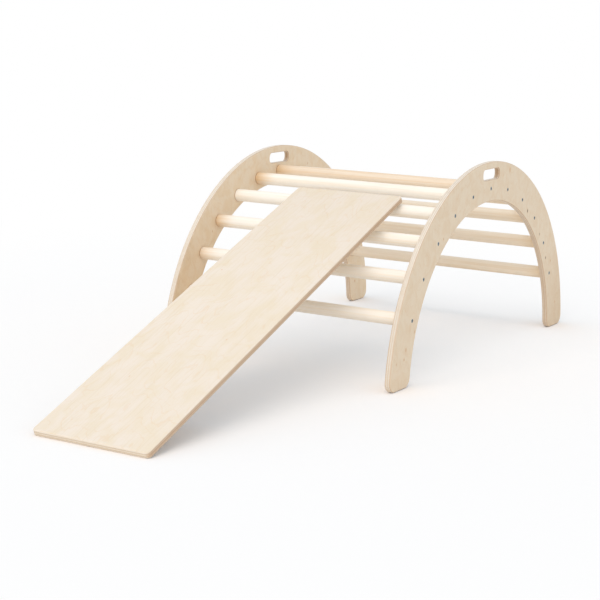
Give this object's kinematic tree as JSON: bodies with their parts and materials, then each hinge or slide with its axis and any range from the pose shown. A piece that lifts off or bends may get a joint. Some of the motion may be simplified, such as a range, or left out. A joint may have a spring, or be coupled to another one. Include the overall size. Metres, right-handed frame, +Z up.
{
  "type": "climbing and rocker arch with ramp",
  "caption": "Half-round plywood climbing arch with turned wooden rungs between two side panels, handle slots at the top, and a plywood ramp hooked over a rung.",
  "frame": {"origin": "on the floor, in the middle of the whole object's length and width", "axes": "+X along the rungs to the right-hand panel, +Y from the ramp's low end to the back of the arch, +Z up"},
  "size_m": [0.65, 1.7672, 0.4999],
  "materials": {
    "panel_plywood": "birch plywood, sanded and clear oiled, lighter laminated edges",
    "ramp_plywood": "birch plywood, sanded and clear oiled",
    "hook_plywood": "birch plywood, sanded and clear oiled",
    "rung_wood": "pale turned hardwood, sanded, bare",
    "warm_rung": "warmer turned hardwood, sanded, bare",
    "zinc_screw": "blue zinc plated"
  },
  "bodies": {
    "arch": {"side_panel_left": "panel_plywood", "side_panel_right": "panel_plywood", "rung_01": "rung_wood", "rung_02": "rung_wood", "rung_03": "rung_wood", "rung_04": "rung_wood", "rung_05": "rung_wood", "rung_06": "warm_rung", "rung_07": "rung_wood", "rung_08": "rung_wood", "rung_09": "rung_wood", "rung_10": "rung_wood", "rung_11": "rung_wood", "rung_screws_left": "zinc_screw", "rung_screws_right": "zinc_screw"},
    "ramp": {"ramp_board": "ramp_plywood", "ramp_hook_left": "hook_plywood", "ramp_hook_right": "hook_plywood", "hook_screws_left": "zinc_screw", "hook_screws_right": "zinc_screw"}
  },
  "joints": [
    {"name": "ramp_tilt", "type": "hinge", "parent": "arch", "child": "ramp", "pos_m": [0.032, 0.1646, 0.38366], "axis": [-1, 0, 0], "range_deg": [0, 35]}
  ]
}
